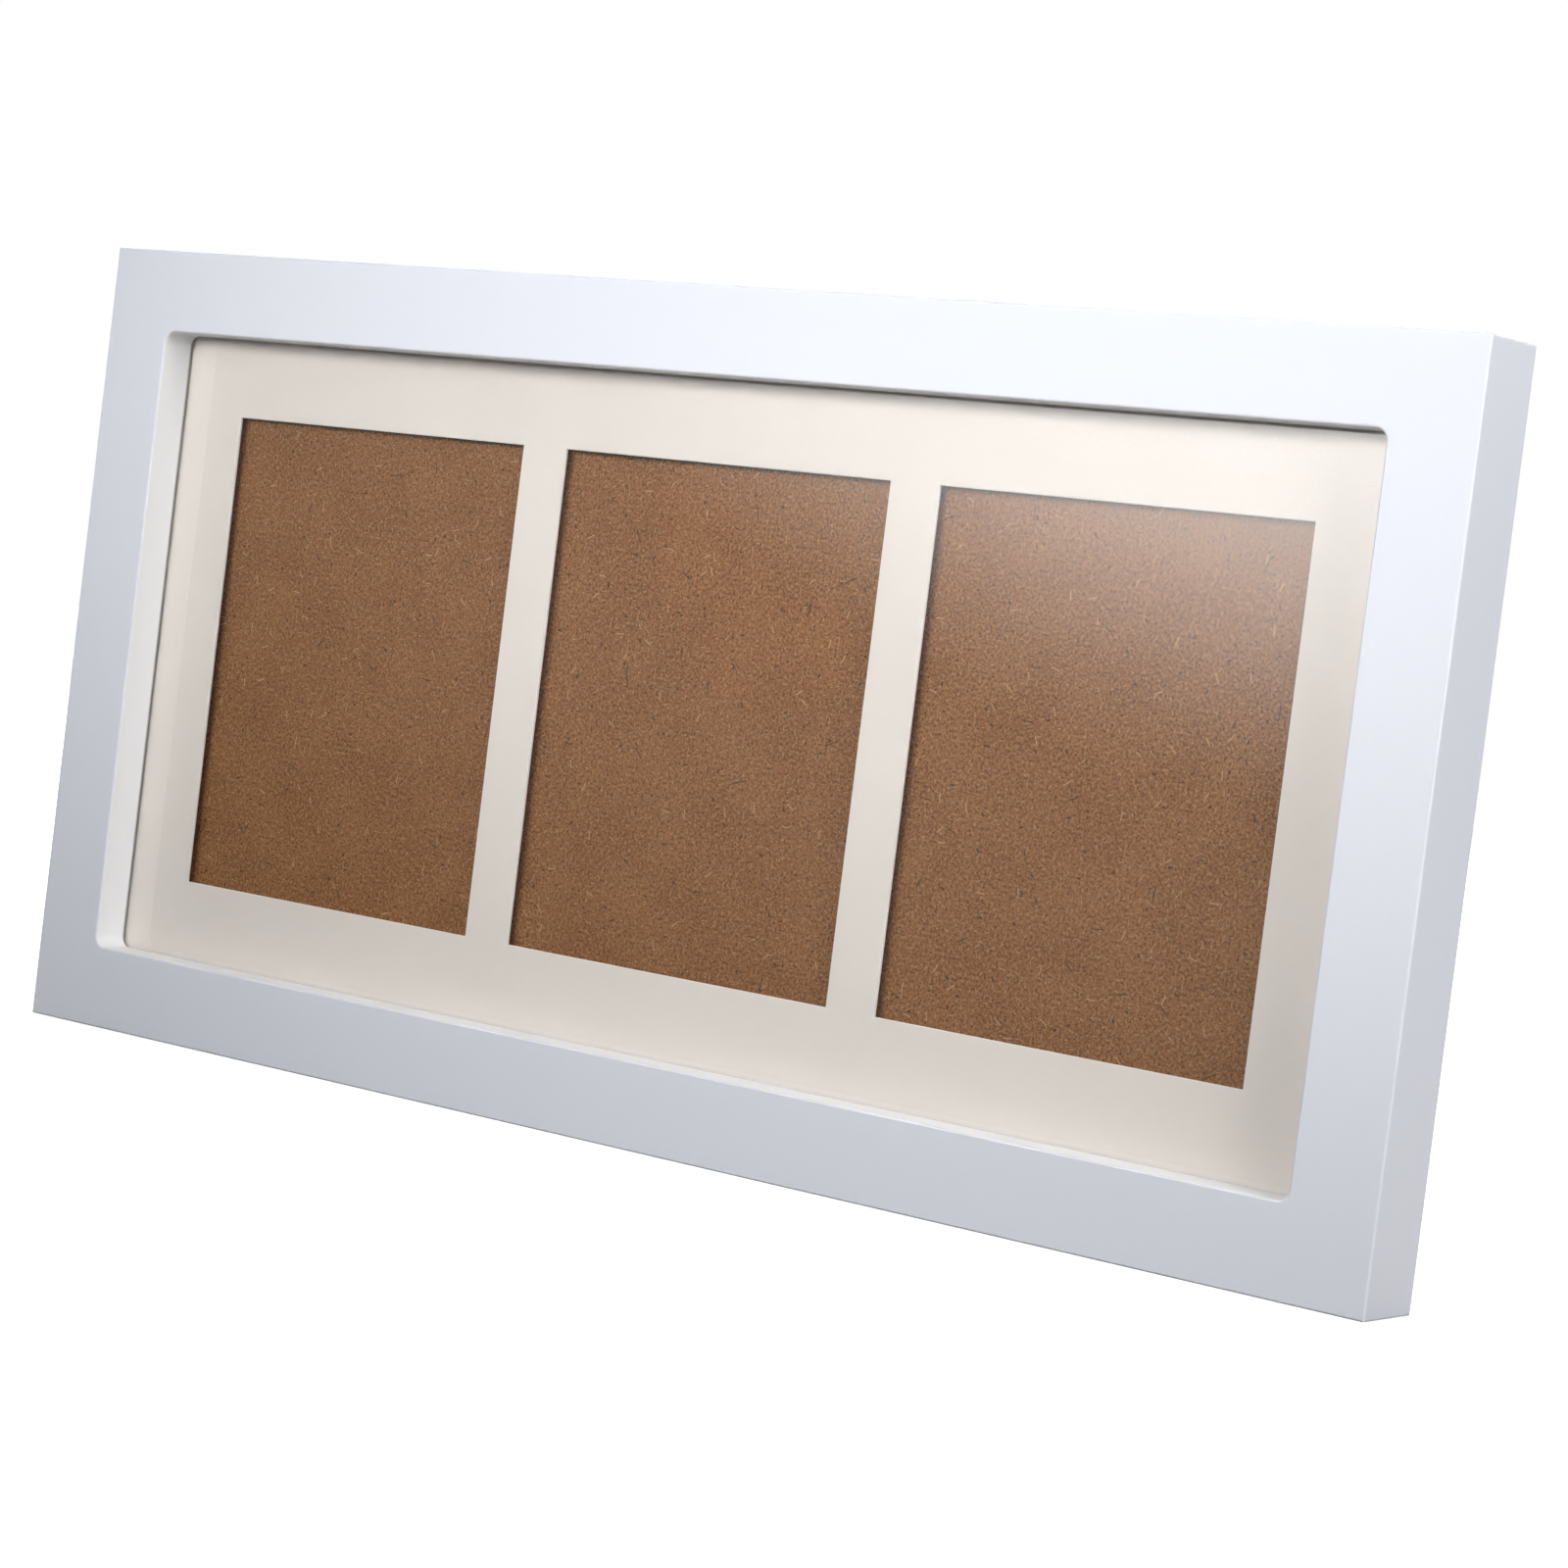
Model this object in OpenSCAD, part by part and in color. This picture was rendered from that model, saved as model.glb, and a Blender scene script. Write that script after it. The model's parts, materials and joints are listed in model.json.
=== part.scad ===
// Handprint frame: a white one-piece frame that holds a clear pane, a mat with three
// windows and an MDF back board. Turn buttons hold the board, and a hinged strut
// stands the frame on a table. X is across, Y points to the back, Z is up, in mm.

/* [Mat windows] */
// Width of one window
window_w = 96.8; // [60:0.1:140]
// Height of one window
window_h = 121.3; // [90:0.1:180]
// Width of the bar between two windows
window_gap = 13.8; // [8:0.1:30]
// Width of mat that shows outside the windows
mat_margin = 20; // [14:0.5:40]
// Thickness of the mat
mat_t = 0.7; // [0.6:0.1:3]
// Bevel on the front edge of each window
window_bevel = 0.2; // [0.1:0.1:0.4]

/* [Frame] */
// Width of a rail, seen from the front
rail_w = 20.9; // [18:0.1:40]
// Depth of the inner wall in front of the pane
lip_d = 9.7; // [6:0.1:20]
// How far the lip covers the pane's edge
lip_cover = 6; // [4:0.5:7]
// Corner radius that the cutter leaves in the opening and the rebate
opening_r = 3; // [2:0.5:6]
// Radius on the outer edges and on the front edge of the opening
arris_r = 0.5; // [0.2:0.1:1.5]

/* [Glazing and backing] */
// Thickness of the clear pane
pane_t = 1; // [1:0.1:3]
// Width of the spacer strips between the mat and the board
spacer_w = 12; // [6:0.5:18]
// Thickness of the spacer strips
spacer_t = 2.1; // [1:0.1:6]
// Thickness of the back board
board_t = 7; // [5:0.5:10]
// Play round the pane, the mat and the board in the rebate
insert_play = 0.5; // [0.3:0.1:1]

/* [Turn buttons] */
// Length of a turn button
button_l = 24; // [18:0.5:34]
// Width of a turn button
button_w = 9; // [6:0.5:10]
// Thickness of a turn button
button_t = 1.2; // [0.8:0.1:2]
// Distance from the rebate's edge to the button's screw
button_inset = 5.5; // [5.2:0.1:7]
// Distance between the two buttons on a long rail
button_spread = 220; // [120:1:260]
// Radius of the button screws
button_screw_r = 1.5; // [1:0.1:2]
// Length of the button screws under the head
button_screw_l = 13; // [8:0.5:16]

/* [Easel strut] */
// How far the frame leans back on its strut, in degrees
lean = 11.5; // [8:0.5:15]
// Distance from the top of the frame down to the hinge pin
hinge_drop = 65; // [50:1:75]
// Thickness of the strut
strut_t = 3; // [2.5:0.1:5]
// Width of the strut at its top
strut_top_w = 46; // [42:1:60]
// Width of the strut at its foot
strut_foot_w = 70; // [50:1:100]
// Gap between the folded strut and the board
strut_gap = 0.35; // [0.3:0.05:1]

/* [Hinge] */
// Width of the hinge
hinge_w = 30; // [24:1:32]
// Length of a leaf, measured from the pin's axis
leaf_l = 16; // [14:0.5:24]
// Thickness of the leaf sheet
leaf_t = 0.8; // [0.5:0.1:1.2]
// Width of the middle knuckle
middle_knuckle_w = 12; // [8:0.5:16]
// Distance between the two fasteners of a leaf
leaf_hole_spread = 18; // [14:0.5:22]
// Radius of the hinge screws
hinge_screw_r = 1.2; // [0.8:0.1:1.6]
// Length of the hinge screws under the head
hinge_screw_l = 5; // [4:0.5:5.5]
// Radius of the strut rivets
rivet_r = 1.4; // [1:0.1:2]

/* [Wall hanger] */
// Length of the sawtooth hanger
hanger_l = 46; // [36:1:70]
// Height of the sawtooth hanger
hanger_h = 8; // [6:0.5:12]
// Thickness of its sheet
hanger_t = 0.8; // [0.5:0.1:1.2]
// How far its middle stands off the rail
hanger_rise = 1.3; // [0.8:0.1:2]
// Length of the nailed flat at each end
hanger_flat_l = 8; // [6:0.5:12]
// Distance from one tooth to the next
tooth_pitch = 2.5; // [2:0.1:4]
// Radius of the hanger nails
nail_r = 0.6; // [0.4:0.1:1]
// Length of the hanger nails under the head
nail_l = 9; // [6:0.5:14]

/* [Hidden] */
$fn = 64;

// Clearances: a fixed fit, a running fit and the stop's last bit of air
seat_fit = 0.02;
run_fit = 0.05;
stop_air = 0.05;
// How far a cutting shape reaches past the face that it cuts
overrun = 1;

window_count = 3;
button_count = 6;

// The opening follows the windows, and the frame follows the opening
opening_w = window_count * window_w + (window_count - 1) * window_gap + 2 * mat_margin;
opening_h = window_h + 2 * mat_margin;
frame_w = opening_w + 2 * rail_w;
frame_h = opening_h + 2 * rail_w;
frame_d = lip_d + pane_t + mat_t + spacer_t + board_t;
rebate_w = opening_w + 2 * lip_cover;
rebate_h = opening_h + 2 * lip_cover;
insert_w = rebate_w - 2 * insert_play;
insert_h = rebate_h - 2 * insert_play;
insert_r = opening_r - insert_play;
mid_h = frame_h / 2;
shoulder_w = rail_w - lip_cover;

// The hinge barrel fills the step from the board to the strut leaf's outer face
barrel_air = 0.25;
barrel_r = (strut_gap + strut_t + leaf_t) / 2;
pin_off = barrel_r + barrel_air;
barrel_clear = barrel_r + 0.4;
pin_r = barrel_r - leaf_t - run_fit;
pin_head_t = 0.5;
pin_head_r = pin_r + 0.4;
knuckle_gap = 0.3;
outer_knuckle_w = (hinge_w - middle_knuckle_w) / 2 - knuckle_gap;
outer_knuckle_x = (hinge_w - outer_knuckle_w) / 2;
pin_h = frame_h - hinge_drop;
notch_w = hinge_w + 2 * (pin_head_t + run_fit + knuckle_gap);
leaf_hole_off = (barrel_clear + leaf_l) / 2;

// Heads of the fasteners
button_head_r = 3;
button_head_h = 1.6;
hinge_head_r = 2.3;
hinge_head_h = 1.2;
rivet_head_r = 2.6;
rivet_head_h = 0.9;
rivet_tail_r = 2.2;
nail_head_r = 1.5;
nail_head_h = 0.6;

// Depths, from the front face of the frame to the back
total_d = frame_d + max(
    pin_off + barrel_r,
    strut_gap + strut_t + leaf_t + rivet_head_h,
    button_t + button_head_h,
    leaf_t + hinge_head_h,
    hanger_rise + 2 * hanger_t
);
front_y = -total_d / 2;
pane_y = front_y + lip_d;
mat_y = pane_y + pane_t;
spacer_y = mat_y + mat_t;
board_y = spacer_y + spacer_t;
back_y = front_y + frame_d;
pin_y = back_y + pin_off;
strut_y = back_y + strut_gap;
strut_leaf_y = strut_y + strut_t;

// The strut opens to just under twice the lean, which keeps its foot off the table
// when it is folded. Its length puts the foot on the table when it is open.
open_margin = 1;
strut_open = 2 * lean - open_margin;
strut_front_off = pin_off - strut_gap;
strut_l = (
    pin_h - pin_off * tan(lean)
    - strut_front_off * (sin(strut_open) - cos(strut_open) * tan(lean))
) / (cos(strut_open) + sin(strut_open) * tan(lean));
foot_z = pin_h - strut_l;
foot_drop = strut_t * tan(strut_open - lean);
// The strut's shoulders meet the board when it is fully open
stop_h = (pin_off - stop_air - strut_front_off * cos(strut_open)) / sin(strut_open);

// Sawtooth hanger
hanger_z = frame_h - shoulder_w / 2;
hanger_slope_l = 2 * hanger_rise;
hanger_middle_l = hanger_l - 2 * (hanger_flat_l + hanger_slope_l);
tooth_count = floor(hanger_middle_l / tooth_pitch);
tooth_share = 0.45;
hanger_nail_x = (hanger_l - hanger_flat_l) / 2;

// Share of a head's height that its dome takes, and of a screw that its point takes
dome_share = 0.6;
point_share = 0.25;
drive_w_share = 0.28;
drive_l_share = 1.2;
drive_d_share = 0.55;

white_paint = [0.93, 0.93, 0.95];
clear_sheet = [0.85, 0.92, 0.94, 0.35];
cream_card = [0.92, 0.89, 0.84];
mdf_brown = [0.58, 0.43, 0.33];
zinc = [0.74, 0.75, 0.77];
brassed = [0.78, 0.64, 0.36];

function button_x(i) = (i % 2 == 0 ? -1 : 1) * (i < 4 ? button_spread : rebate_w + 2 * button_inset) / 2;
function button_z(i) = mid_h + (i < 2 ? 1 : i < 4 ? -1 : 0) * (rebate_h / 2 + button_inset);
function button_turn(i) = i < 2 ? 0 : i < 4 ? 180 : i == 4 ? -90 : 90;

// Half of a window's cut, as across and depth: straight, then flared to the front
function window_profile(half) = [
    [-half, mat_t + overrun],
    [half, mat_t + overrun],
    [half, window_bevel],
    [half + window_bevel + overrun, -overrun],
    [-half - window_bevel - overrun, -overrun],
    [-half, window_bevel]
];
function swapped(points) = [for (p = points) [p[1], p[0]]];

module rounded_rect(w, h, r) {
    square([w - 2 * r, h], center = true);
    square([w, h - 2 * r], center = true);
    for (sx = [-1, 1], sy = [-1, 1])
        translate([sx * (w / 2 - r), sy * (h / 2 - r)]) circle(r);
}

// Stands a flat outline up in XZ, from depth y to y + t
module upright(y, t) {
    translate([0, y + t, 0]) rotate([90, 0, 0]) linear_extrude(t) children();
}

// Turns a shape made along +Z so that it points to the back
module facing_back() {
    rotate([-90, 0, 0]) children();
}

module insert_outline() {
    translate([0, mid_h]) rounded_rect(insert_w, insert_h, insert_r);
}

module at_button(i) {
    translate([button_x(i), back_y, button_z(i)]) rotate([0, button_turn(i), 0]) children();
}

// A low domed head on the plane z = 0
module domed_head(r, h) {
    sag = h * dome_share;
    dome_r = (r * r + sag * sag) / (2 * sag);
    intersection() {
        cylinder(h = h, r = r);
        translate([0, 0, h - dome_r]) sphere(dome_r);
    }
}

// A cross-head screw: its head stands on z = 0 and its shank points down
module screw(r, l, head_r, head_h) {
    point_l = l * point_share;
    drive = [head_r * drive_l_share, head_r * drive_w_share, 2 * head_h * drive_d_share];
    difference() {
        domed_head(head_r, head_h);
        for (a = [0, 90])
            rotate(a) translate([0, 0, head_h]) cube(drive, center = true);
    }
    translate([0, 0, point_l - l]) cylinder(h = l - point_l, r = r);
    translate([0, 0, -l]) cylinder(h = point_l, r1 = r * point_share, r2 = r);
}

module pilot_hole(r, l) {
    translate([0, 0, -l]) cylinder(h = l + overrun, r = r + seat_fit);
}

// What a round of the arris radius takes off a square edge, seen along the edge
module arris_profile() {
    difference() {
        translate([-overrun, -overrun]) square(arris_r + overrun);
        translate([arris_r, arris_r]) circle(arris_r);
    }
}

// Cutter that rounds the front edge of the opening: two runs and two corners, turned to the other side
module opening_arris() {
    run_w = opening_w - 2 * opening_r;
    run_h = opening_h - 2 * opening_r;
    for (side = [0, 180])
        translate([0, front_y, mid_h]) rotate([0, side, 0]) {
            translate([-run_w / 2, 0, opening_h / 2])
                rotate([90, 0, 90]) linear_extrude(run_w) arris_profile();
            translate([opening_w / 2, 0, -run_h / 2]) linear_extrude(run_h) arris_profile();
            for (corner = [[-run_h / 2, 0], [run_h / 2, -90]])
                translate([run_w / 2, 0, corner[0]]) facing_back() rotate(corner[1])
                    rotate_extrude(angle = 90) translate([opening_r, 0]) arris_profile();
        }
}

module frame_moulding() {
    color(white_paint) difference() {
        intersection() {
            upright(front_y, frame_d) translate([0, mid_h]) rounded_rect(frame_w, frame_h, arris_r);
            translate([0, front_y + frame_d / 2, 0])
                linear_extrude(frame_h) rounded_rect(frame_w, frame_d, arris_r);
            translate([-frame_w / 2, front_y + frame_d / 2, mid_h])
                rotate([90, 0, 90]) linear_extrude(frame_w) rounded_rect(frame_d, frame_h, arris_r);
        }
        upright(front_y - overrun, frame_d + 2 * overrun)
            translate([0, mid_h]) rounded_rect(opening_w, opening_h, opening_r);
        opening_arris();
        upright(pane_y, frame_d)
            translate([0, mid_h]) rounded_rect(rebate_w, rebate_h, opening_r);
        for (i = [0 : button_count - 1])
            at_button(i) facing_back() pilot_hole(button_screw_r, button_screw_l);
        for (sx = [-1, 1])
            translate([sx * hanger_nail_x, back_y, hanger_z]) facing_back() pilot_hole(nail_r, nail_l);
    }
}

module glazing_pane() {
    color(clear_sheet) upright(pane_y, pane_t) insert_outline();
}

// Cutter for one window: two flared bars that cross give four flared sides
module window_cut() {
    reach = 2 * (window_bevel + overrun);
    intersection() {
        linear_extrude(window_h + reach, center = true) polygon(window_profile(window_w / 2));
        rotate([90, 0, 90]) linear_extrude(window_w + reach, center = true)
            polygon(swapped(window_profile(window_h / 2)));
    }
}

module mat_board() {
    color(cream_card) difference() {
        upright(mat_y, mat_t) insert_outline();
        for (i = [0 : window_count - 1])
            translate([(i - (window_count - 1) / 2) * (window_w + window_gap), mat_y, mid_h]) window_cut();
    }
}

// A strip along the top or the bottom, cut to the rounded outline of the inserts
module long_spacer(side) {
    color(cream_card) upright(spacer_y, spacer_t) intersection() {
        insert_outline();
        translate([0, mid_h + side * (insert_h - spacer_w) / 2]) square([insert_w, spacer_w], center = true);
    }
}

module short_spacer(side) {
    color(cream_card) upright(spacer_y, spacer_t)
        translate([side * (insert_w - spacer_w) / 2, mid_h])
            square([spacer_w, insert_h - 2 * spacer_w], center = true);
}

module back_board() {
    color(mdf_brown) difference() {
        upright(board_y, board_t) insert_outline();
        for (sx = [-1, 1])
            translate([sx * leaf_hole_spread / 2, back_y, pin_h + leaf_hole_off]) facing_back()
                pilot_hole(hinge_screw_r, hinge_screw_l - leaf_t);
    }
}

// A flat button with round ends. Its screw is at one end, and the other holds the board.
module turn_button(i) {
    end_r = button_w / 2;
    reach = button_l - button_w;
    color(zinc) at_button(i) upright(0, button_t) difference() {
        union() {
            circle(end_r);
            translate([0, -reach]) circle(end_r);
            translate([-end_r, -reach]) square([button_w, reach]);
        }
        circle(button_screw_r + run_fit);
    }
}

module button_screws() {
    color(zinc) for (i = [0 : button_count - 1])
        at_button(i) translate([0, button_t + run_fit, 0]) facing_back()
            screw(button_screw_r, button_screw_l, button_head_r, button_head_h);
}

// A knuckle along X, centred at x, with its bore
module knuckle(x, w, bore_r) {
    translate([x - w / 2, pin_y, pin_h]) rotate([0, 90, 0]) difference() {
        cylinder(h = w, r = barrel_r);
        translate([0, 0, -overrun]) cylinder(h = w + 2 * overrun, r = bore_r);
    }
}

module leaf_holes(side, y, r) {
    for (sx = [-1, 1])
        translate([sx * leaf_hole_spread / 2, y - overrun, pin_h + side * leaf_hole_off]) facing_back()
            cylinder(h = leaf_t + 2 * overrun, r = r);
}

// The leaf's plate, and the necks that run from it to its knuckles
module leaf_plate(side, y, necks) {
    plate_l = leaf_l - barrel_clear;
    translate([-hinge_w / 2, y, pin_h + (side > 0 ? barrel_clear : -leaf_l)])
        cube([hinge_w, leaf_t, plate_l]);
    for (n = necks)
        translate([n[0] - n[1] / 2, y, pin_h - (side > 0 ? 0 : barrel_clear)])
            cube([n[1], leaf_t, barrel_clear]);
}

module pin_bore(r) {
    translate([-hinge_w / 2 - overrun, pin_y, pin_h]) rotate([0, 90, 0])
        cylinder(h = hinge_w + 2 * overrun, r = r);
}

module hinge_board_leaf() {
    color(zinc) difference() {
        union() {
            leaf_plate(1, back_y, [for (sx = [-1, 1]) [sx * outer_knuckle_x, outer_knuckle_w]]);
            for (sx = [-1, 1]) knuckle(sx * outer_knuckle_x, outer_knuckle_w, pin_r + seat_fit);
        }
        leaf_holes(1, back_y, hinge_screw_r + seat_fit);
        pin_bore(pin_r + seat_fit);
    }
}

module hinge_strut_leaf() {
    color(zinc) difference() {
        union() {
            leaf_plate(-1, strut_leaf_y, [[0, middle_knuckle_w]]);
            knuckle(0, middle_knuckle_w, pin_r + run_fit);
        }
        leaf_holes(-1, strut_leaf_y, rivet_r + seat_fit);
        pin_bore(pin_r + run_fit);
    }
}

module hinge_pin() {
    color(zinc) translate([0, pin_y, pin_h]) rotate([0, 90, 0]) {
        cylinder(h = hinge_w + 2 * run_fit, r = pin_r, center = true);
        for (sx = [-1, 1])
            translate([0, 0, sx * ((hinge_w + pin_head_t) / 2 + run_fit)])
                cylinder(h = pin_head_t, r = pin_head_r, center = true);
    }
}

module hinge_screws() {
    color(zinc) for (sx = [-1, 1])
        translate([sx * leaf_hole_spread / 2, back_y + leaf_t, pin_h + leaf_hole_off]) facing_back()
            screw(hinge_screw_r, hinge_screw_l, hinge_head_r, hinge_head_h);
}

// Shank and flared tail of a strut rivet, from the strut's front face to its leaf
module rivet_body(extra) {
    tail_l = rivet_tail_r - rivet_r;
    cylinder(h = strut_t + leaf_t, r = rivet_r + extra);
    cylinder(h = tail_l, r1 = rivet_tail_r + extra, r2 = rivet_r + extra);
}

module at_rivets() {
    for (sx = [-1, 1])
        translate([sx * leaf_hole_spread / 2, strut_y, pin_h - leaf_hole_off]) facing_back() children();
}

module strut_rivets() {
    color(zinc) at_rivets() {
        rivet_body(0);
        translate([0, 0, strut_t + leaf_t]) domed_head(rivet_head_r, rivet_head_h);
    }
}

// The strut, folded: tapered outline, notch for the hinge, foot cut to stand flat
module easel_strut() {
    top_z = pin_h + stop_h;
    low_z = foot_z - foot_drop;
    color(mdf_brown) difference() {
        intersection() {
            upright(strut_y, strut_t) polygon([
                [-strut_top_w / 2, top_z], [strut_top_w / 2, top_z],
                [strut_foot_w / 2, low_z], [-strut_foot_w / 2, low_z]
            ]);
            translate([-strut_foot_w / 2, 0, 0]) rotate([90, 0, 90]) linear_extrude(strut_foot_w) polygon([
                [strut_y, foot_z], [strut_y + strut_t, low_z],
                [strut_y + strut_t, top_z], [strut_y, top_z]
            ]);
        }
        translate([-notch_w / 2, strut_y - overrun, pin_h - barrel_clear])
            cube([notch_w, strut_t + 2 * overrun, barrel_clear + stop_h + overrun]);
        at_rivets() {
            rivet_body(seat_fit);
            translate([0, 0, -overrun]) cylinder(h = overrun, r = rivet_tail_r + seat_fit);
        }
    }
}

// The hanger's sheet seen from above: flat ends and a raised middle
module hanger_section() {
    half = hanger_l / 2;
    bend = half - hanger_flat_l;
    rise_x = hanger_middle_l / 2;
    side = [[half, 0], [bend, 0], [rise_x, hanger_rise]];
    over = [[rise_x, hanger_rise + hanger_t], [bend, hanger_t], [half, hanger_t]];
    polygon(concat(
        side, [for (p = [side[2], side[1], side[0]]) [-p[0], p[1]]],
        [for (p = [over[2], over[1], over[0]]) [-p[0], p[1]]], over
    ));
}

module sawtooth_hanger() {
    tooth_h = tooth_pitch * tooth_share;
    color(brassed) difference() {
        translate([0, back_y, hanger_z - hanger_h / 2]) linear_extrude(hanger_h) hanger_section();
        for (i = [0 : tooth_count - 1])
            translate([(i - (tooth_count - 1) / 2) * tooth_pitch, back_y - overrun, hanger_z - hanger_h / 2])
                upright(0, hanger_rise + hanger_t + 2 * overrun) polygon([
                    [-tooth_pitch / 2, -overrun], [tooth_pitch / 2, -overrun],
                    [tooth_pitch / 2, 0], [0, tooth_h], [-tooth_pitch / 2, 0]
                ]);
        for (sx = [-1, 1])
            translate([sx * hanger_nail_x, back_y - overrun, hanger_z]) facing_back()
                cylinder(h = hanger_t + 2 * overrun, r = nail_r + seat_fit);
    }
}

module hanger_nails() {
    color(brassed) for (sx = [-1, 1])
        translate([sx * hanger_nail_x, back_y + hanger_t, hanger_z]) facing_back() {
            domed_head(nail_head_r, nail_head_h);
            translate([0, 0, -nail_l]) cylinder(h = nail_l, r = nail_r);
        }
}

frame_moulding();
glazing_pane();
mat_board();
long_spacer(1);  // spacer_top
long_spacer(-1);  // spacer_bottom
short_spacer(-1);  // spacer_left
short_spacer(1);  // spacer_right
back_board();
turn_button(0);  // turn_button_top_left
turn_button(1);  // turn_button_top_right
turn_button(2);  // turn_button_bottom_left
turn_button(3);  // turn_button_bottom_right
turn_button(4);  // turn_button_left
turn_button(5);  // turn_button_right
button_screws();
hinge_board_leaf();
hinge_strut_leaf();
hinge_pin();
hinge_screws();
strut_rivets();
easel_strut();
sawtooth_hanger();
hanger_nails();
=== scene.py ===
"""Looks of the handprint frame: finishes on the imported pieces, the studio and the camera.

Lengths are in metres in the part's own frame: X across, Y to the back, Z up, with the floor at zero.
Colours are linear red, green and blue. Angles are in degrees.
"""

import json
import math

import bpy
from mathutils import Matrix, Vector

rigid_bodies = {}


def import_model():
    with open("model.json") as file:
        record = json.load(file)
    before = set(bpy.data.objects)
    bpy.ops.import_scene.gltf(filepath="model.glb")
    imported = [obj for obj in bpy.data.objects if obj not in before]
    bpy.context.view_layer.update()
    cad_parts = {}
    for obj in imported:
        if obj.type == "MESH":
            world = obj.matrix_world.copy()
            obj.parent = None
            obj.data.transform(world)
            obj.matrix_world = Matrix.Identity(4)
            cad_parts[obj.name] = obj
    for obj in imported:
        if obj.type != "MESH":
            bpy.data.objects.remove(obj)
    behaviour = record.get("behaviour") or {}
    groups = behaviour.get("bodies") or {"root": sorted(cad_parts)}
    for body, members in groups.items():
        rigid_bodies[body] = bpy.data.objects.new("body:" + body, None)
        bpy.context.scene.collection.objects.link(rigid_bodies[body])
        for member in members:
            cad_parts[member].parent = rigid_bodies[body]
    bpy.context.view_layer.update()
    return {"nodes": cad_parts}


MM = 0.001
WHITE = (1.0, 1.0, 1.0)

# Camera, found from the corners of the frame and of its windows. Its lens and sensor are in millimetres.
CAMERA_PLACE = Vector((0.568391, -0.731964, 0.130213))
CAMERA_RIGHT = Vector((0.794973, 0.594205, 0.122218))
CAMERA_UP = Vector((-0.124445, -0.037448, 0.991520))
CAMERA_LENS = 90.104
SENSOR = 36.0

# The span that most values of a noise fill
NOISE_SPAN = (0.3, 0.7)

# Paint: the film, a second tone of it, and its roughness between low and high grain
PAINT = (0.694, 0.710, 0.774)
PAINT_TONE = (0.697, 0.723, 0.774)
PAINT_ROUGH = (0.34, 0.44)
PAINT_IOR = 1.48
# Painted light and shade in the opening: a brighter white painted on its walls for the light that falls
# there, and a grey line of painted shade where they meet the pane. Each begins between two depths,
# inside an outline that has a millimetre to spare round the opening.
PAINT_WALL_LIGHT = (0.810, 0.812, 0.826)
PAINTED_JOINT_SHADE = (0.320, 0.320, 0.310)
JOINT_SHADE_COVER = 0.6
WALL_LIGHT_DEPTHS = (-12.7 * MM, -12.3 * MM)
JOINT_SHADE_DEPTHS = (-3.6 * MM, -3.3 * MM)
OPENING_HALF_W = 180 * MM
OPENING_HALF_H = 81.7 * MM
OPENING_MIDDLE = 101.55 * MM

# Pane: what it lets through, and what it mirrors seen head on, which grows by a power of the slant
GLASS_TINT = (0.992, 0.997, 0.995)
GLASS_ROUGH = 0.02
HEAD_ON_MIRROR = 0.04
MIRROR_POWER = 5.0

# Mat: its paper face with the tones of clouds and tooth, and its core, which shows on what turns away from
# the front
CARD_FACE = (0.803, 0.739, 0.690)
CARD_CLOUD = (0.779, 0.712, 0.652)
CARD_TOOTH = (0.822, 0.763, 0.712)
CARD_CORE = (0.900, 0.885, 0.860)
CARD_ROUGH = 0.85
TOOTH_SPAN = (0.35, 0.75)
TOOTH_COVER = 0.3
FACING_SPAN = (0.80, 0.95)

# Board: the two tones of its ground, and the grain and the pits, which are high and low values of one noise
MDF_DEEP = (0.231, 0.087, 0.023)
MDF_PALE = (0.269, 0.108, 0.033)
MDF_GRAIN = (0.391, 0.187, 0.069)
MDF_PIT = (0.084, 0.026, 0.007)
MDF_FIBRE = (0.650, 0.410, 0.210)
MDF_SPECK = (0.022, 0.007, 0.003)
MDF_ROUGH = 0.7
GRAIN_SPAN = (0.47, 0.70)
PIT_SPAN = (0.30, 0.50)
PIT_COVER = 0.95
# Strands in the board: pitch of their cells, half length, half width, bend, share of the cells that hold
# one, shift of the cells, colour and cover. They are fine and long fibres, dots, knots and dark slivers.
STRANDS = (
    (1.7 * MM, 0.55 * MM, 0.12 * MM, 0.9, 0.60, 3.7, MDF_FIBRE, 0.50),
    (8.0 * MM, 1.30 * MM, 0.15 * MM, 0.7, 0.35, 11.3, MDF_FIBRE, 0.75),
    (2.3 * MM, 0.28 * MM, 0.21 * MM, 0.0, 0.45, 23.9, MDF_SPECK, 0.90),
    (8.0 * MM, 0.54 * MM, 0.32 * MM, 0.0, 0.45, 31.7, MDF_SPECK, 0.90),
    (17.0 * MM, 1.90 * MM, 0.17 * MM, 1.2, 0.50, 41.1, MDF_SPECK, 0.90),
)
# Where a strand begins to fade, as shares of its half width and half length
STRAND_EDGE, STRAND_END = 0.4, 0.7

# Plated metals: colour, tone of the clouds in the plating, and roughness outside and inside the clouds
STEEL = ((0.640, 0.645, 0.655), (0.56, 0.57, 0.60), (0.28, 0.42))
BRASS = ((0.760, 0.570, 0.270), (0.66, 0.50, 0.25), (0.22, 0.36))

# Spacer strips: the board and the tone of its layers
SPACER = (0.700, 0.690, 0.660)
SPACER_LAYER = (0.55, 0.535, 0.50)
SPACER_ROUGH = 0.9

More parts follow.
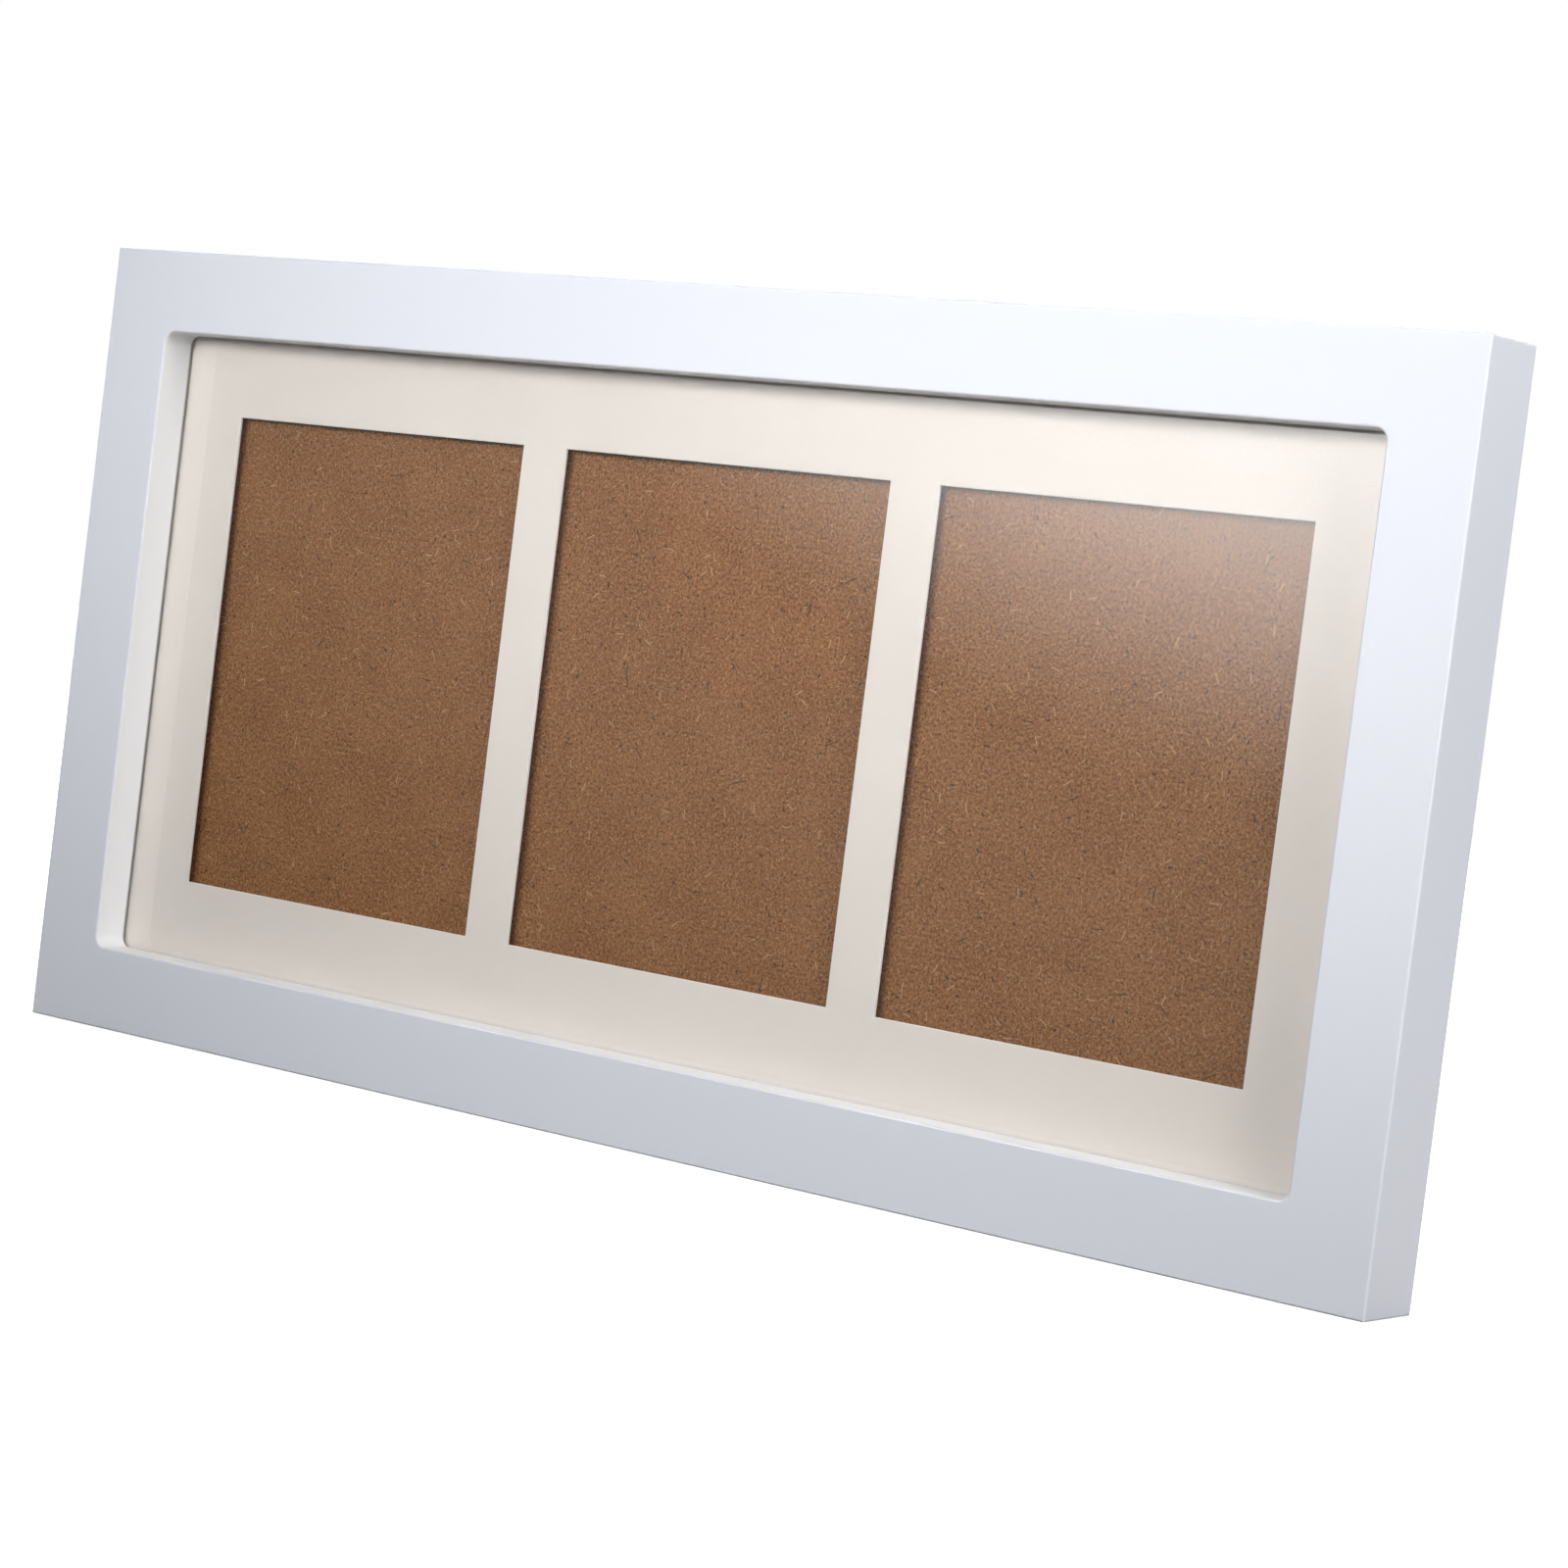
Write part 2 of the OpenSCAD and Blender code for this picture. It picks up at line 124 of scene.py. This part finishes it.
# Lamps: name, place, aim, width, height, watts, spread, and whether shiny faces mirror it
LAMPS = (
    ("key", (0.02, -0.45, 0.26), (0.02, 0.0, 0.16), 0.54, 0.15, 0.49, 75, False),
    ("front", (0.15, -1.50, 0.60), (0.15, 0.0, 0.10), 0.60, 0.60, 2.8, 180, False),
    ("side", (1.60, -0.60, 0.50), (0.0, 0.0, 0.10), 0.60, 0.60, 10.5, 180, True),
    ("rim", (0.55, -0.15, 0.50), (0.0, 0.0, 0.10), 0.20, 0.20, 1.6, 180, True),
    ("back", (-1.10, 1.20, 1.20), (0.0, 0.0, 0.10), 2.00, 1.60, 52.0, 180, False),
)
# Even light from all round, beside the lamps
WORLD_LEVEL = 0.10

# What shiny faces mirror behind the object: a pale wall, which brightens as a ray rises
BEHIND_RISE = (-0.2, 0.7)
BEHIND_LEVELS = (0.45, 1.0)
# What they mirror in front: a dark room with one pale card and a dim veil round it
ROOM_LEVEL = 0.03
CARD_AZIMUTH, CARD_ELEVATION = -27.0, 18.0
# The card and the veil: level, the angle from the card's middle to which it holds, and where it is gone
GLARE = (
    (9.0, 9.0, 20.5),
    (0.27, 21.0, 29.0),
)
# Where front turns to back, along Y of a ray and of a place on the floor
FRONT_TO_BACK = (-0.1, 0.1)

# Floor: its colour, and the darker one with which it lights the object. Its glow for the camera and for
# shiny faces grows with the distance from the object, which leaves the shadow near it.
FLOOR = (0.800, 0.800, 0.800)
FLOOR_BOUNCE = (0.140, 0.140, 0.140)
FLOOR_HALF = 4.0
GLOW_REACH = (0.30, 0.70)
GLOW_LEVELS = (0.50, 1.0)


class Tree:
    """Short ways to build a node tree."""

    def __init__(self, owner):
        owner.use_nodes = True
        self.tree = owner.node_tree
        self.tree.nodes.clear()

    def add(self, kind, inputs=None, **settings):
        """A new node. An input is a number, a colour, a vector or another node's output."""
        node = self.tree.nodes.new(kind)
        for name, value in settings.items():
            setattr(node, name, value)
        for name, value in (inputs or {}).items():
            self.feed(node.inputs[name], value)
        return node

    def first(self, kind, inputs=None, **settings):
        """The first output of a new node."""
        return self.add(kind, inputs, **settings).outputs[0]

    def feed(self, socket, value):
        if isinstance(value, bpy.types.NodeSocket):
            self.tree.links.new(value, socket)
        elif socket.type == "RGBA":
            socket.default_value = (*value, 1.0)
        else:
            socket.default_value = value

    def coordinate(self, kind="Object"):
        return self.add("ShaderNodeTexCoord").outputs[kind]

    def axes(self, vector):
        """The three numbers of a vector."""
        return self.add("ShaderNodeSeparateXYZ", {0: vector}).outputs

    def math(self, operation, *values):
        return self.first("ShaderNodeMath", dict(enumerate(values)), operation=operation)

    def vector(self, operation, *vectors):
        return self.first("ShaderNodeVectorMath", dict(enumerate(vectors)), operation=operation)

    def measure(self, operation, *vectors):
        """A number read from vectors, such as a length."""
        node = self.add("ShaderNodeVectorMath", dict(enumerate(vectors)), operation=operation)
        return node.outputs["Value"]

    def stretched(self, place, x=1.0, y=1.0, z=1.0):
        return self.vector("MULTIPLY", place, (x, y, z))

    def ramp(self, value, low, high, out_low=0.0, out_high=1.0):
        """A smooth step from out_low at low to out_high at high."""
        ends = {"From Min": low, "From Max": high, "To Min": out_low, "To Max": out_high}
        return self.first("ShaderNodeMapRange", {"Value": value, **ends}, interpolation_type="SMOOTHSTEP")

    def noise(self, place, scale, detail=2.0, rough=0.5, sides="3D"):
        inputs = {"Vector": place, "Scale": scale, "Detail": detail, "Roughness": rough}
        return self.first("ShaderNodeTexNoise", inputs, noise_dimensions=sides)

    def spread(self, noise, out_low=0.0, out_high=1.0):
        """A noise drawn out from out_low to out_high."""
        return self.ramp(noise, *NOISE_SPAN, out_low, out_high)

    def mix(self, share, a, b):
        """The share of b in a, for colours, whose sockets on this node are 6 and 7 in and 2 out."""
        return self.add("ShaderNodeMix", {0: share, 6: a, 7: b}, data_type="RGBA").outputs[2]

    def clouded(self, noise, base, tone, cover=1.0):
        """A base colour that turns to a second tone with a noise, as far as the cover."""
        return self.mix(self.spread(noise, 0.0, cover), base, tone)

    def bump(self, height, strength, distance, under=None):
        """The normal of a bumped surface, on top of another bump if there is one."""
        inputs = {"Height": height, "Strength": strength, "Distance": distance}
        if under is not None:
            inputs["Normal"] = under
        return self.first("ShaderNodeBump", inputs)

    def blend(self, share, a, b):
        """The share of shader b in shader a."""
        return self.first("ShaderNodeMixShader", {0: share, 1: a, 2: b})

    def surface(self, colour, rough, **others):
        """Ends a material in one surface."""
        inputs = {"Base Color": colour, "Roughness": rough, **others}
        self.finish(self.first("ShaderNodeBsdfPrincipled", inputs))

    def finish(self, shader, kind="ShaderNodeOutputMaterial"):
        self.add(kind, {"Surface": shader})


def material(name):
    made = bpy.data.materials.new(name)
    return made, Tree(made)


def opening_light_and_shade_masks(t, place):
    """Masks of painted light on the walls of the opening, and of painted shade where they meet the pane."""
    x, y, z = t.axes(place)
    from_middle = t.math("ABSOLUTE", t.math("SUBTRACT", z, OPENING_MIDDLE))
    across = t.math("LESS_THAN", t.math("ABSOLUTE", x), OPENING_HALF_W)
    upward = t.math("LESS_THAN", from_middle, OPENING_HALF_H)
    inside = t.math("MULTIPLY", across, upward)
    return [t.math("MULTIPLY", t.ramp(y, *depths), inside) for depths in (WALL_LIGHT_DEPTHS, JOINT_SHADE_DEPTHS)]


def white_paint():
    """Satin lacquer on MDF: an even film, a faint grain along the rails, painted light and shade in the
    opening.
    """
    made, t = material("white_paint")
    place = t.coordinate()
    cloud = t.noise(place, scale=14.0, detail=3.0)
    grain = t.noise(t.stretched(place, x=0.12), scale=1500.0, rough=0.6)
    orange_peel = t.noise(place, scale=420.0)
    wall_light, joint_shade = opening_light_and_shade_masks(t, place)
    colour = t.clouded(cloud, PAINT, PAINT_TONE, cover=0.3)
    # Painted light: the walls of the opening get a brighter white for the light that falls on them.
    colour = t.mix(wall_light, colour, PAINT_WALL_LIGHT)
    # Painted shade: a grey line where the walls of the opening meet the pane, for the shade where the lip
    # meets it.
    colour = t.mix(t.math("MULTIPLY", joint_shade, JOINT_SHADE_COVER), colour, PAINTED_JOINT_SHADE)
    normal = t.bump(grain, strength=0.10, distance=0.05 * MM)
    normal = t.bump(orange_peel, strength=0.12, distance=0.10 * MM, under=normal)
    t.surface(colour, t.spread(grain, *PAINT_ROUGH), Normal=normal, IOR=PAINT_IOR)
    return made


def clear_pane():
    """A clear sheet: it mirrors by its angle and lets the rest through, lamps too."""
    made, t = material("clear_pane")
    slant = t.add("ShaderNodeLayerWeight", {"Blend": 0.5}).outputs["Facing"]
    growth = t.math("POWER", slant, MIRROR_POWER)
    mirror = t.math("MULTIPLY_ADD", growth, 1.0 - HEAD_ON_MIRROR, HEAD_ON_MIRROR)
    clear = t.first("ShaderNodeBsdfTransparent", {"Color": GLASS_TINT})
    gloss = t.first("ShaderNodeBsdfGlossy", {"Color": WHITE, "Roughness": GLASS_ROUGH})
    t.finish(t.blend(mirror, clear, gloss))
    return made


def mat_card():
    """Cream faced card with a paper tooth. Its white core shows where it is cut."""
    made, t = material("mat_card")
    place = t.coordinate()
    facing = t.math("ABSOLUTE", t.axes(t.coordinate("Normal"))[1])
    tooth = t.noise(place, scale=2600.0, detail=3.0, rough=0.6)
    cloud = t.noise(place, scale=60.0, detail=3.0)
    paper = t.clouded(cloud, CARD_FACE, CARD_CLOUD, cover=0.3)
    paper = t.mix(t.ramp(tooth, *TOOTH_SPAN, 0.0, TOOTH_COVER), paper, CARD_TOOTH)
    colour = t.mix(t.ramp(facing, *FACING_SPAN), CARD_CORE, paper)
    t.surface(colour, CARD_ROUGH, Normal=t.bump(tooth, strength=0.25, distance=0.04 * MM))
    return made


def flat_place(t):
    """Two coordinates across any face of a board, in its own plane."""
    x, y, z = t.axes(t.coordinate())
    return t.first("ShaderNodeCombineXYZ", {0: t.math("ADD", x, y), 1: t.math("ADD", z, y)})


def strands(t, place, pitch, half_l, half_w, bend, share, shift):
    """A mask of short curved strands: one at most in each cell of the pitch, turned at random."""
    scaled = t.stretched(place, x=1 / pitch, y=1 / pitch, z=0.0)
    scaled = t.vector("ADD", scaled, (shift, 2 * shift, 0.0))
    cell = t.add("ShaderNodeTexVoronoi", {"Vector": scaled, "Scale": 1.0}, voronoi_dimensions="2D")
    turn, curl, chance = t.add("ShaderNodeSeparateColor", {0: cell.outputs["Color"]}).outputs
    local = t.vector("SUBTRACT", scaled, cell.outputs["Position"])
    angle = t.math("MULTIPLY", turn, 2 * math.pi)
    local = t.first("ShaderNodeVectorRotate", {"Vector": local, "Angle": angle}, rotation_type="Z_AXIS")
    along, across, _ = t.axes(local)
    bow = t.math("MULTIPLY", t.math("SUBTRACT", curl, 0.5), 2 * bend)
    across = t.math("ADD", across, t.math("MULTIPLY", t.math("MULTIPLY", along, along), bow))
    reach, width = half_l / pitch, half_w / pitch
    thin = t.ramp(t.math("ABSOLUTE", across), width * STRAND_EDGE, width, 1.0, 0.0)
    short = t.ramp(t.math("ABSOLUTE", along), reach * STRAND_END, reach, 1.0, 0.0)
    there = t.math("LESS_THAN", chance, share)
    return t.math("MULTIPLY", t.math("MULTIPLY", thin, short), there)


def fibre_board():
    """MDF: a brown ground with faint clouds, pressed grain, pale fibres and dark specks."""
    made, t = material("fibre_board")
    place = flat_place(t)
    cloud = t.noise(place, scale=60.0, sides="2D")
    grain = t.noise(place, scale=1500.0, detail=3.0, rough=0.75, sides="2D")
    colour = t.clouded(cloud, MDF_DEEP, MDF_PALE)
    colour = t.mix(t.ramp(grain, *GRAIN_SPAN), colour, MDF_GRAIN)
    colour = t.mix(t.ramp(grain, *PIT_SPAN, PIT_COVER, 0.0), colour, MDF_PIT)
    for *form, tone, cover in STRANDS:
        mask = strands(t, place, *form)
        colour = t.mix(t.math("MULTIPLY", mask, cover), colour, tone)
    t.surface(colour, MDF_ROUGH, Normal=t.bump(grain, strength=0.20, distance=0.06 * MM))
    return made


def plated(name, base, tone, roughness):
    """Plated sheet metal: soft clouds in the plating and fine rolling lines."""
    made, t = material(name)
    place = t.coordinate()
    cloud = t.noise(place, scale=180.0, detail=3.0)
    lines = t.noise(t.stretched(place, x=0.08), scale=2600.0, rough=0.7)
    colour = t.clouded(cloud, base, tone, cover=0.5)
    normal = t.bump(lines, strength=0.15, distance=0.02 * MM)
    t.surface(colour, t.spread(cloud, *roughness), Normal=normal, Metallic=1.0)
    return made


def spacer_card():
    """Grey board strips, with layers that show on their cut edges."""
    made, t = material("spacer_board")
    layers = t.noise(t.stretched(t.coordinate(), x=40.0, y=3500.0, z=40.0), scale=1.0, detail=3.0)
    t.surface(t.clouded(layers, SPACER, SPACER_LAYER, cover=0.35), SPACER_ROUGH)
    return made


def dress(nodes):
    """Gives each CAD node its finish."""
    steel = plated("zinc_plate", *STEEL)
    brass = plated("brass_plate", *BRASS)
    board = fibre_board()
    finishes = {
        "frame_moulding": white_paint(),
        "glazing_pane": clear_pane(),
        "mat_board": mat_card(),
        "back_board": board,
        "easel_strut": board,
        "sawtooth_hanger": brass,
        "hanger_nails": brass,
    }
    spacer = spacer_card()
    for name, node in nodes.items():
        finish = finishes.get(name) or (spacer if name.startswith("spacer") else steel)
        for slot in node.material_slots:
            slot.material = finish


def add_object(name, data):
    added = bpy.data.objects.new(name, data)
    bpy.context.scene.collection.objects.link(added)
    return added


def add_camera():
    data = bpy.data.cameras.new("camera")
    data.lens, data.sensor_width = CAMERA_LENS, SENSOR
    backward = CAMERA_RIGHT.cross(CAMERA_UP)
    turn = Matrix((CAMERA_RIGHT, CAMERA_UP, backward)).transposed()
    camera = add_object("camera", data)
    camera.matrix_world = Matrix.Translation(CAMERA_PLACE) @ turn.to_4x4()
    bpy.context.scene.camera = camera


def aimed(place, aim):
    """A placing that looks from place to aim along its own -Z."""
    turn = (Vector(aim) - Vector(place)).to_track_quat("-Z", "Y")
    return Matrix.Translation(place) @ turn.to_matrix().to_4x4()


def add_lamps():
    for name, place, aim, width, height, watts, spread, mirrored in LAMPS:
        data = bpy.data.lights.new(name, "AREA")
        data.shape, data.size, data.size_y = "RECTANGLE", width, height
        data.energy, data.spread = watts, math.radians(spread)
        lamp = add_object(name, data)
        lamp.visible_camera, lamp.visible_glossy = False, mirrored
        lamp.matrix_world = aimed(place, aim)


def ray_kinds(t):
    """Masks of the rays from the camera, also through glass, from a shiny face, and from a dull one."""
    path = t.add("ShaderNodeLightPath").outputs
    straight = t.math("MAXIMUM", path["Is Camera Ray"], path["Is Transmission Ray"])
    return straight, path["Is Glossy Ray"], path["Is Diffuse Ray"]


def direction(azimuth, elevation):
    """The direction at an azimuth, counted from straight in front, and an elevation."""
    azimuth, elevation = math.radians(azimuth), math.radians(elevation)
    level = math.cos(elevation)
    return math.sin(azimuth) * level, -math.cos(azimuth) * level, math.sin(elevation)


def add_world():
    """Even light all round. The camera sees white, and shiny faces the pale wall and the dark room."""
    world = bpy.data.worlds.new("studio")
    bpy.context.scene.world = world
    t = Tree(world)
    ray = t.coordinate("Generated")
    _, depth, rise = t.axes(ray)
    behind = t.ramp(rise, *BEHIND_RISE, *BEHIND_LEVELS)
    room = t.ramp(depth, *FRONT_TO_BACK, ROOM_LEVEL, behind)
    cosine = t.measure("DOT_PRODUCT", ray, direction(CARD_AZIMUTH, CARD_ELEVATION))
    for level, *angles in GLARE:
        full, gone = (math.cos(math.radians(angle)) for angle in angles)
        room = t.math("ADD", room, t.ramp(cosine, gone, full, 0.0, level))
    straight, mirrored, _ = ray_kinds(t)
    above_world = t.math("SUBTRACT", room, WORLD_LEVEL)
    strength = t.math("MULTIPLY_ADD", above_world, mirrored, WORLD_LEVEL)
    light = t.first("ShaderNodeBackground", {"Color": WHITE, "Strength": strength})
    white = t.first("ShaderNodeBackground", {"Color": WHITE, "Strength": 1.0})
    t.finish(t.blend(straight, light, white), "ShaderNodeOutputWorld")


def floor_finish():
    """White that keeps the object's shadow near it and is plain white further off.

    In front it isn't there for shiny faces, which mirror the dark room as far down as they see.
    """
    made, t = material("floor")
    place = t.coordinate()
    straight, mirrored, bounced = ray_kinds(t)
    glowing = t.math("MAXIMUM", straight, mirrored)
    lift = t.math("MULTIPLY", glowing, t.ramp(t.measure("LENGTH", place), *GLOW_REACH, *GLOW_LEVELS))
    diffuse = t.first("ShaderNodeBsdfDiffuse", {"Color": t.mix(bounced, FLOOR, FLOOR_BOUNCE)})
    glow = t.first("ShaderNodeEmission", {"Color": WHITE, "Strength": lift})
    lit = t.first("ShaderNodeAddShader", {0: diffuse, 1: glow})
    clear = t.first("ShaderNodeBsdfTransparent", {"Color": WHITE})
    in_front = t.ramp(t.axes(place)[1], *FRONT_TO_BACK, 1.0, 0.0)
    t.finish(t.blend(t.math("MULTIPLY", mirrored, in_front), lit, clear))
    return made


def add_floor():
    half = FLOOR_HALF
    corners = [(-half, -half, 0), (half, -half, 0), (half, half, 0), (-half, half, 0)]
    mesh = bpy.data.meshes.new("floor")
    mesh.from_pydata(corners, [], [(0, 1, 2, 3)])
    mesh.materials.append(floor_finish())
    add_object("floor", mesh)


def main():
    for thing in list(bpy.data.objects):
        bpy.data.objects.remove(thing)
    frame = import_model()
    add_camera()
    add_world()
    add_lamps()
    add_floor()
    dress(frame["nodes"])
    bpy.context.scene.view_settings.view_transform = "Standard"


main()
